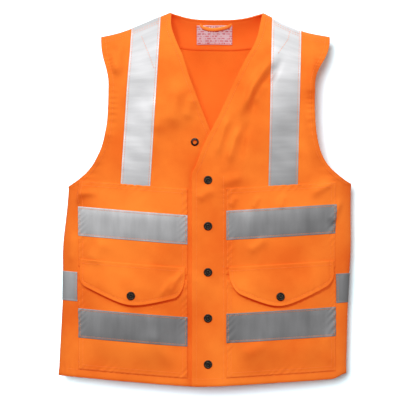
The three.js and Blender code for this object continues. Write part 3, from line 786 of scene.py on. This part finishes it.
for side in (RIGHT, LEFT):
    name = NAMES[side]
    x = pocket_middle(side) + (closer_at_ends(FLAP_WIDTH) - 0.5) * FLAP_WIDTH + np.zeros((FLAP_LINES, 1))
    t = 1 - (1 - np.linspace(0, 1, FLAP_LINES)[:, None]) ** 1.3
    d = FLAP_TOP + (flap_bottom(side, x) - FLAP_TOP) * t
    flap = sheet_of_cloth(f"{name}_flap_cloth", x, d, FRONT, flap_level(side, x, d), FLAP_THICKNESS)
    fit(flap, twill, "orange_cloth", FLAP_BENDS[side], f"{name}_flap")


# ---- Snaps ---------------------------------------------------------------------------------------------
# Prong snaps, size 24: pressed brass in an antique black finish. A cap and a socket grip the upper layer, and
# a stud and a prong ring the lower one. One more stud stands at the neck.
SNAP_COUNT = 5
FIRST_SNAP = 296
SNAP_SPACING = 80.4
SNAP_SEGMENTS = 40
TOP_STUD = (-23, 229.6)

# The section of each pressed piece, as radii and heights in millimetres.
CAP = [
    (0, 0), (6.7, 0), (7.35, 0.25), (7.5, 0.7), (7.3, 1.3), (6.7, 1.75), (5.8, 1.9), (5.1, 1.7), (4.6, 1.25),
    (4.3, 1.1), (4.0, 1.25), (3.6, 1.55), (2.8, 1.75), (1.9, 1.7), (1.3, 1.4), (0.8, 1.2), (0, 1.15),
]
STUD = [
    (3.7, 0.05), (3.85, 0), (6.7, 0), (7, 0.15), (7, 0.5), (6.7, 0.8), (5.2, 0.85), (4.7, 1.0), (4.45, 1.4),
    (4.5, 2.0), (4.4, 2.45), (4.15, 2.6), (3.9, 2.6), (3.7, 2.4),
]
SOCKET = [
    (5.3, 0.2), (5.5, 0), (6.8, 0), (7, 0.2), (7, 1.2), (6.7, 1.5), (5.8, 1.5), (5.3, 1.3), (5.15, 0.75),
]
PRONGS = [(4, 0.1), (4.1, 0), (6.3, 0), (6.5, 0.15), (6.5, 0.6), (6.2, 0.8), (4.3, 0.8), (4, 0.6)]

# Antique brass: dark and partly polished by rubbing, with warm metal showing in the hollow of the cap.
gunmetal, tree, shader = finish_named("antique_brass_black")
place = add(tree, "ShaderNodeTexCoord").outputs["Object"]
wear_and_painted_shade = add(tree, "ShaderNodeTexNoise", {"Scale": 420.0, "Detail": 4.0}, Vector=place)
tone = ramp(tree, wear_and_painted_shade.outputs["Fac"], [(0.4, linear("#2b2725")), (0.75, linear("#54493f"))])
tree.links.new(tone.outputs["Color"], shader.inputs["Base Color"])
rough = add(tree, "ShaderNodeMapRange", {"To Min": 0.32, "To Max": 0.55}, Value=wear_and_painted_shade.outputs["Fac"])
tree.links.new(rough.outputs[0], shader.inputs["Roughness"])
shader.inputs["Metallic"].default_value = 0.9


def spun(profile, x, d, level):
    """A profile of (radius, height) turned about the form's outward direction at each place (x, d).

    A profile that leaves the axis is joined end to end, and one that starts and ends on it is closed by it.
    """
    shape = np.array([*profile, profile[0]] if profile[0][0] > 0 else profile, float)[::-1]
    turn = np.linspace(0, 2 * np.pi, SNAP_SEGMENTS, endpoint=False)
    points = []
    for px, pd, rise in zip(x, d, level):
        foot, top = (laid(np.array([px]), np.array([pd]), FRONT, np.array([rise + h]))[0] for h in (0.0, 1.0))
        up = (top - foot) / np.linalg.norm(top - foot)
        one = np.cross([0, 0, 1.0], up)
        one /= np.linalg.norm(one)
        two = np.cross(up, one)
        ring = np.cos(turn)[:, None] * one + np.sin(turn)[:, None] * two
        points.append(foot + shape[:, 0, None, None] * ring + shape[:, 1, None, None] * up)
    points = np.array(points)
    rows = len(shape)
    row, segment = np.arange(rows - 1)[:, None] * SNAP_SEGMENTS, np.arange(SNAP_SEGMENTS)
    first, after = (row + segment).ravel(), (row + (segment + 1) % SNAP_SEGMENTS).ravel()
    faces = np.stack([first, first + SNAP_SEGMENTS, after + SNAP_SEGMENTS, after], 1)
    count = rows * SNAP_SEGMENTS
    faces = np.concatenate([faces + i * count for i in range(len(points))])
    return points.reshape(-1, 3), faces


def press_snaps(name, profile, x, d, level, body, nodes):
    """Snap pieces of one kind on one body: spun shapes, with their doubled points merged."""
    piece = put_in(name, *spun(profile, x, d, level))
    shell = bmesh.new()
    shell.from_mesh(piece.data)
    bmesh.ops.remove_doubles(shell, verts=shell.verts, dist=1e-7)
    bmesh.ops.dissolve_degenerate(shell, edges=shell.edges, dist=1e-7)
    bmesh.ops.recalc_face_normals(shell, faces=shell.faces)
    shell.to_mesh(piece.data)
    shell.free()
    fit(piece, gunmetal, "snap_metal", body, *nodes)


def press_set(prefix, x, d, base, backing, covering, lower, upper, nodes):
    """A set of snaps: prong rings behind the lower layer, studs on it, and sockets and caps on the upper one.

    base is the height of the lower layer's outer face; backing and covering are the two layers' thicknesses.
    """
    front = RIGHT if lower == "right_front" else LEFT
    base = np.full(len(x), base, float) + [front_lift(front, *place) for place in zip(x, d)]
    kinds = [("prong_ring", PRONGS, -backing - 1.2, lower), ("stud", STUD, 0.3, lower)]
    if upper:
        kinds.append(("socket", SOCKET, SNAP_STACK - 1.9, upper))
        kinds.append(("cap", CAP, SNAP_STACK + covering + 0.3, upper))
    for kind, profile, rise, body in kinds:
        press_snaps(f"{prefix}_{kind}s", profile, x, d, base + rise, body, [f"{n}_{kind}" for n in nodes])


DOUBLED = 2 * CLOTH + GAP
drops = FIRST_SNAP + SNAP_SPACING * np.arange(SNAP_COUNT)
press_set("front_snap", 0 * drops, drops, CLOTH, DOUBLED, DOUBLED, "right_front", "left_front",
          [f"front_snap_{i + 1}" for i in range(SNAP_COUNT)])
press_set("top_snap", [TOP_STUD[0]], [TOP_STUD[1]], CLOTH, DOUBLED, 0, "right_front", None, ["top"])
for side in (RIGHT, LEFT):
    name, pocket_face = NAMES[side], POCKET_LIFT + POCKET_ROOM + CLOTH
    press_set(f"{name}_flap_snap", [FLAP_CENTRE[side]], [FLAP_TOP + FLAP_SNAP_DROP], pocket_face, CLOTH,
              FLAP_THICKNESS, f"{name}_front", FLAP_BODY[side], [f"{name}_flap_snap"])


# ---- Label ---------------------------------------------------------------------------------------------
# A woven white label, stitched inside the back neck. Its print is a plain pattern of bars.
LABEL_WIDTH, LABEL_HEIGHT = 62, 34
LABEL_DROP = 22
LABEL_SHIFT = NECK_SHIFT - 4
u = np.linspace(0, LABEL_WIDTH, 40)
v = np.linspace(0, LABEL_HEIGHT, 24)[:, None]
x = LABEL_SHIFT - LABEL_WIDTH / 2 + u + 0 * v
d = LABEL_DROP + v + 0 * u
edge = np.minimum(np.minimum(u, LABEL_WIDTH - u), np.minimum(v, LABEL_HEIGHT - v))
low = -CLOTH - GAP - 1.4 - 0.25 * ease(0, 6, edge) + 0.15 * np.sin(x / 6 + d / 9)
chart = np.stack([u + 0 * v, v + 0 * u], -1) * 0.001
label = sheet_of_cloth("label_cloth", x, d, BACK, low, 0.5, chart)

# Woven polyester satin: smooth, a little shiny and pinkish white, with bars in two red threads.
satin, tree, shader = finish_named("woven_label_satin")
uv = add(tree, "ShaderNodeUVMap", {"uv_map": "cloth"}).outputs["UV"]
ground = linear("#dcced6")
bars = add(tree, "ShaderNodeTexBrick", {
    "Color1": linear("#c05866"), "Color2": linear("#d896a2"), "Mortar": ground, "Scale": 1.0,
    "Mortar Size": 0.0011, "Mortar Smooth": 0.3, "Brick Width": 0.0085, "Row Height": 0.0042, "offset": 0.37,
}, Vector=uv).outputs["Color"]
patch = add(tree, "ShaderNodeTexNoise", {"Scale": 130.0, "Detail": 2.0}, Vector=uv)
hole = ramp(tree, patch.outputs["Fac"], [(0.48, (0, 0, 0, 1)), (0.56, (1, 1, 1, 1))])
mix = add(tree, "ShaderNodeMix", {"data_type": "RGBA", 7: ground}, i0=hole.outputs["Color"], i6=bars)
tree.links.new(mix.outputs[2], shader.inputs["Base Color"])
threads = add(tree, "ShaderNodeTexWave", {"Scale": 400.0, "bands_direction": "Y"}, Vector=uv)
bump = add(tree, "ShaderNodeBump", {"Strength": 0.2, "Distance": 0.0001}, Height=threads.outputs["Fac"])
tree.links.new(bump.outputs["Normal"], shader.inputs["Normal"])
shader.inputs["Roughness"].default_value = 0.5
fit(label, satin, "label_cloth", "back", "label")


# ---- Hang loop -----------------------------------------------------------------------------------------
# A folded strip of orange tape, caught in the back neck seam at both ends, that hangs over the label.
LOOP_LEFT, LOOP_SPAN = -14, 56
LOOP_WIDTH, LOOP_THICKNESS = 5.4, 1.1
LOOP_DROP, LOOP_SAG = 19, 7
u = np.linspace(0, 1, 60)
v = np.linspace(0, 1, 9)[:, None]
x = LOOP_LEFT + LOOP_SPAN * u + 0 * v
d = LOOP_DROP + LOOP_SAG * np.sin(np.pi * u**0.8) + LOOP_WIDTH * v
low = -4.6 + 2.2 * (1 - ease(0, 0.12, np.minimum(u, 1 - u))) - 0.5 * np.sin(np.pi * v) + 0 * u
chart = np.stack([u * LOOP_SPAN + 0 * v, v * LOOP_WIDTH + 0 * u], -1) * 0.001
loop = sheet_of_cloth("hang_loop_tape", x, d, BACK, low, LOOP_THICKNESS, chart)
loop_tape = blaze_twill("orange_loop_tape", "#d08a38", "#d8a048")
fit(loop, loop_tape, "orange_cloth", "neck_loop", "hang_loop")


# ---- Stitching -----------------------------------------------------------------------------------------
# Lockstitch in orange polyester thread. Real stitches are 3 mm long in 0.35 mm thread; these are 3.3 mm long,
# 4.4 mm from middle to middle and 0.7 mm thick, so that the rows show.
STITCH_PITCH = 4.4
STITCH_LENGTH = 3.3
THREAD = 0.34


def stitches(x, d, facing, level):
    """Middles, directions, and outward directions of the stitches in a row along the curve (x, d, level)."""
    x, d, level = (np.atleast_1d(a) + 0.0 for a in np.broadcast_arrays(x, d, level))
    path = laid(x, d, facing, level)
    run = np.concatenate([[0], np.cumsum(np.linalg.norm(np.diff(path, axis=0), axis=1))])
    count = max(1, int(run[-1] / STITCH_PITCH))
    middle = (np.arange(count) + 0.5) * run[-1] / count
    up = outward(x, d, facing * np.sqrt(np.maximum(1e-6, depth_squared(x, d))))
    at, ahead, behind = (
        np.stack([np.interp(middle + s, run, path[:, i]) for i in range(3)], 1) for s in (0, 0.6, -0.6)
    )
    normal = np.stack([np.interp(middle, run, up[:, i]) for i in range(3)], 1)
    along = ahead - behind
    along /= np.linalg.norm(along, axis=1, keepdims=True)
    return at, along, normal


def sew(name, rows, body):
    """Thread stitches: a four-sided arc for each, as high as a parabola, with its ends down in the cloth."""
    at, along, normal = (np.concatenate(parts) for parts in zip(*(stitches(*row) for row in rows)))
    side_way = np.cross(along, normal)
    t = np.array([-1, -0.55, 0, 0.55, 1])
    rise, radius = THREAD * (0.9 - 1.5 * t * t), THREAD * np.array([0.5, 0.95, 1, 0.95, 0.5])
    corner = np.array([(1, 0), (0, 1), (-1, 0), (0, -1)])
    spine = at[:, None] + along[:, None] * (t * STITCH_LENGTH / 2)[None, :, None]
    spine = spine + normal[:, None] * rise[None, :, None]
    points = (
        spine[:, :, None] + side_way[:, None, None] * (radius[:, None] * corner[:, 0])[None, :, :, None]
        + normal[:, None, None] * (radius[:, None] * corner[:, 1])[None, :, :, None]
    ).reshape(-1, 3)
    row, turn = np.arange(4)[:, None] * 4, np.arange(4)
    first, after = (row + turn).ravel(), (row + (turn + 1) % 4).ravel()
    tube = np.stack([first, first + 4, after + 4, after], 1)
    faces = np.concatenate([tube, [[0, 1, 2, 3], [19, 18, 17, 16]]])
    faces = (faces[None] + 20 * np.arange(len(at))[:, None, None]).reshape(-1, 4)
    fit(put_in(name, points, faces), thread, "orange_cloth", body)


# Spun polyester thread: twisted, a little shinier and yellower than the twill it lies on.
thread, tree, shader = finish_named("orange_polyester_thread")
place = add(tree, "ShaderNodeTexCoord").outputs["Object"]
twist = add(tree, "ShaderNodeTexWave", {"Scale": 900.0, "bands_direction": "DIAGONAL"}, Vector=place)
tone = ramp(tree, twist.outputs["Fac"], [(0.0, linear("#ee6c22")), (1.0, linear("#ff9648"))])
tree.links.new(tone.outputs["Color"], shader.inputs["Base Color"])
shader.inputs["Roughness"].default_value = 0.55

LINE = np.linspace(0, 1, 160)
FRONT_RUN = RIDGE + 2 + (BODY_LENGTH - 5 - RIDGE) * LINE
PLACKET_RUN = 290 + 362 * LINE
HEM_ROW = BODY_LENGTH - HEM_TURN + 1
HEM_RUNS = {RIGHT: -245 + 270 * LINE, LEFT: -26 + 260 * LINE}
SHOULDER_ROWS = (8, 11.5)
DARTS = {
    RIGHT: (-116 + 22 * LINE, 22 + 75 * LINE),
    LEFT: (np.interp(LINE, (0, 0.3, 1), (142, 140, 122)), 10 + 56 * LINE),
}


def tape_rows(x_of, d_of, length, facing, level, ends=True):
    """Rows 3 mm inside a tape's long edges, and inside its ends where they are stitched across."""
    along, crosswise = 1 + (length - 2) * LINE, 3 + (TAPE_WIDTH - 6) * LINE
    places = [(along, TAPE_STITCH), (along, TAPE_WIDTH - TAPE_STITCH)]
    if ends:
        places += [(TAPE_STITCH, crosswise), (length - TAPE_STITCH, crosswise)]
    rows = []
    for u, v in places:
        x, d = x_of(u, v), d_of(u, v)
        rows.append((x, d, facing, level(x, d) + TAPE_TOP))
    return rows


def back_top(x, d):
    """Height of the back's outer face."""
    return back_level(*np.broadcast_arrays(x, d)) + CLOTH


back_rows = []
for side in (RIGHT, LEFT):
    name = NAMES[side]
    arm_run = 4 + (ARMHOLE_DEPTH[side] - 4) * LINE
    arm_row = armhole(side, arm_run) - side * EDGE_STITCH
    tape_top, pocket_end, back_end = TAPE_MIDDLE[side]
    neck_end = side * (NECK_WIDTH / 2 + side * NECK_SHIFT + 4)
    tip_end = side * (seam(side, 0) - ARMHOLE_INSET[side] * TIP_SHARE[side] - 6)

    def panel_top(x, d):
        return front_level(side, x, d) + CLOTH

    places = [
        (arm_row, arm_run), (front_edge(side, FRONT_RUN) + side * EDGE_STITCH, FRONT_RUN),
        (-side * OVERLAP + side * (FACING_WIDTH - 1), PLACKET_RUN), (HEM_RUNS[side], HEM_ROW),
    ]
    places += [(neck_end + (tip_end - neck_end) * LINE, drop) for drop in SHOULDER_ROWS]
    rows = [(x, d, FRONT, panel_top(*np.broadcast_arrays(x, d))) for x, d in places]
    rows += tape_rows(lambda u, v: tape_x(side, pocket_end, POCKET_TOP, u + 0 * v, v), lambda u, v: u + 0 * v,
                      POCKET_TOP, FRONT, panel_top, ends=False)
    shoulder_run = tape_top + (TAPE_WIDTH - 8) * (LINE - 0.5)
    for x, d in [*((shoulder_run, drop + 0 * LINE) for drop in SHOULDER_ROWS), DARTS[side]]:
        rows.append((x, d, FRONT, panel_top(x, d) + TAPE_TOP + 0.3))
    band_end = side * (POCKET_INNER[side] + POCKET_WIDTH + POCKET_MARGIN + 3.0)
    run = BACK_BAND_TOP + 2 + (TAPE_WIDTH - 4) * LINE
    rows.append((band_end, run, FRONT, panel_top(band_end, run) + TAPE_TOP))

    start, inner, outer = pocket_start(side), POCKET_INNER[side], POCKET_INNER[side] + POCKET_WIDTH
    for (part, top, bottom), band_top in zip(POCKET_PARTS, BAND_TOPS[side]):

        def pocket_top(x, d):
            return pocket_level(side, *np.broadcast_arrays(x, d), top, bottom) + CLOTH

        run = top + 2 + (bottom - top - (12 if part == "upper" else 4)) * LINE
        for inset in POCKET_STITCHES:
            for column in (inner + inset, outer - inset):
                rows.append((side * column, run, FRONT, pocket_top(side * float(column), run)))
            level_run = side * (inner + inset + (POCKET_WIDTH - 2 * inset) * LINE)
            row_drop = float(top + inset if part == "upper" else bottom - inset)
            rows.append((level_run, row_drop, FRONT, pocket_top(level_run, row_drop)))
        rows += tape_rows(lambda u, v: start + u + 0 * v, lambda u, v: band_top + v + 0 * u,
                          POCKET_WIDTH, FRONT, pocket_top)
    sew(f"{name}_front_stitching", rows, BENDS[side])

    x = pocket_middle(side) + (FLAP_WIDTH - 12) * (LINE - 0.5)
    places = [(x, flap_bottom(side, x) - FLAP_STITCH - 0.5)]
    for end in (-1, 1):
        x = pocket_middle(side) + end * (FLAP_WIDTH / 2 - FLAP_STITCH) + 0 * LINE
        places.append((x, FLAP_TOP + 3 + (flap_bottom(side, x) - 9.5 - FLAP_TOP) * LINE))
    places.append((pocket_middle(side) + (FLAP_WIDTH - 4) * (LINE - 0.5), FLAP_TOP + FLAP_STITCH + 0 * LINE))
    rows = [(x, d, FRONT, flap_level(side, x, d) + FLAP_THICKNESS) for x, d in places]
    sew(f"{name}_flap_stitching", rows, FLAP_BENDS[side])

    back_rows.append((arm_row, arm_run, BACK, back_top(arm_row, arm_run)))
    back_rows += tape_rows(lambda u, v: tape_x(side, back_end, BACK_BAND_TOP, u + 0 * v, v),
                           lambda u, v: u + 0 * v, BACK_BAND_TOP, BACK, back_top, ends=False)
neck_run = neck_ends[0] + 4 + (neck_ends[1] - neck_ends[0] - 8) * LINE
places = [
    (neck_run, neck_drop(neck_run) + NECK_TURN), (neck_run, NECK_FACING_DROP + neck_drop(neck_run) * 0.6 - 3),
    (-245 + 480 * LINE, HEM_ROW),
]
back_rows += [(x, d, BACK, back_top(x, d)) for x, d in places]
band_run = -240 + 475 * LINE
for drop in (BACK_BAND_TOP + TAPE_STITCH, BACK_BAND_TOP + TAPE_WIDTH - TAPE_STITCH):
    back_rows.append((band_run, drop, BACK, back_top(band_run, drop) + TAPE_TOP))
sew("back_stitching", back_rows, "back")
label_run = LABEL_SHIFT + (LABEL_WIDTH - 4) * (LINE - 0.5)
label_middle = LABEL_DROP + LABEL_HEIGHT / 2
sew("label_stitching", [
    (label_run, label_middle + end * (LABEL_HEIGHT / 2 - 1.5), BACK, -CLOTH - GAP - 1.6) for end in (-1, 1)
], "back")


# ---- Camera, light and backdrop ------------------------------------------------------------------------
# The vest is seen straight from the front through a long lens, before a white sheet just behind it. A high
# sun and three soft lamps light it from its front and sides, and a lamp behind lights its back. A second sun,
# at the wearer's right, lights only the sheet, and its narrow shadow falls at the wearer's left.
camera = bpy.data.objects.new("camera", bpy.data.cameras.new("camera"))
bpy.context.collection.objects.link(camera)
bpy.context.scene.camera = camera
CAMERA_DISTANCE = 9
VIEW_WIDTH = 0.7
camera.data.lens = camera.data.sensor_width * (CAMERA_DISTANCE - HALF_DEPTH * 0.0005) / VIEW_WIDTH
camera.location = (-0.014, -CAMERA_DISTANCE, -0.3307)
camera.rotation_euler = (np.pi / 2, 0, 0)

BACKDROP_PLACE, BACKDROP_REACH = 66, 2500.0
corners = np.array([(x, BACKDROP_PLACE, z) for x, z in ((-1, -1), (1, -1), (1, 1), (-1, 1))], float)
corners[:, [0, 2]] *= BACKDROP_REACH
backdrop = put_in("backdrop", corners, np.array([[0, 1, 2, 3]]))
paper, tree, shader = finish_named("white_backdrop_paper")
shader.inputs["Base Color"].default_value = (0.73, 0.93, 1.0, 1)
shader.inputs["Roughness"].default_value = 1.0
shader.inputs["Specular IOR Level"].default_value = 0.0
clear = add(tree, "ShaderNodeBsdfTransparent")
back_side = add(tree, "ShaderNodeNewGeometry")
mix = add(tree, "ShaderNodeMixShader", i0=back_side.outputs["Backfacing"], i1=shader.outputs[0],
          i2=clear.outputs[0])
tree.links.new(mix.outputs[0], tree.nodes["Material Output"].inputs["Surface"])
backdrop.data.materials.append(paper)
for ray in ("diffuse", "glossy", "transmission", "shadow"):
    setattr(backdrop, f"visible_{ray}", False)


def shine(name, place, size, power, lights_backdrop, kind="AREA"):
    """A light turned to the vest's middle: an area lamp of a size, or a sun of an angle in degrees."""
    lamp = bpy.data.lights.new(name, kind)
    lamp.energy = power
    if kind == "SUN":
        lamp.angle = np.radians(size)
    else:
        lamp.size = size
    light = bpy.data.objects.new(name, lamp)
    light.location = place
    light.rotation_euler = (Vector(place) - Vector((0, 0, -0.33))).to_track_quat("Z", "Y").to_euler()
    bpy.context.collection.objects.link(light)
    group = bpy.data.collections.new(f"{name}_receivers")
    group.objects.link(backdrop)
    group.collection_objects[0].light_linking.link_state = "INCLUDE" if lights_backdrop else "EXCLUDE"
    light.light_linking.receiver_collection = group
    return light


shine("backdrop_light", (-0.54, -4, 0.18), 16, 4.8, True, "SUN")
front = shine("front_light", (-1.0, -4, 2.0), 6, 1.12, False, "SUN")
front.visible_glossy = False
shine("window_light", (-0.2, -1.9, 0.85), 0.6, 18, False)
shine("raking_light", (-2.2, -1.0, 1.4), 0.8, 29, False)
shine("fill_light", (2.4, -1.6, 0.3), 1.2, 26, False)
shine("back_light", (0.8, 2.6, 1.2), 2.0, 60, False)
world = bpy.data.worlds.new("room")
world.use_nodes = True
tree = world.node_tree
direction = add(tree, "ShaderNodeSeparateXYZ", i0=add(tree, "ShaderNodeTexCoord").outputs["Generated"])
half = add(tree, "ShaderNodeMath", {"operation": "MULTIPLY_ADD", 1: 0.5, 2: 0.5}, i0=direction.outputs["Z"])
sky = ramp(tree, half.outputs[0], [
    (0.0, (0.14, 0.14, 0.14, 1)), (0.5, (0.22, 0.22, 0.22, 1)), (0.8, (0.95, 0.95, 0.95, 1)),
])
tree.links.new(sky.outputs["Color"], tree.nodes["Background"].inputs["Color"])
tree.nodes["Background"].inputs["Strength"].default_value = 0.7
bpy.context.scene.world = world
bpy.context.scene.view_settings.view_transform = "Standard"
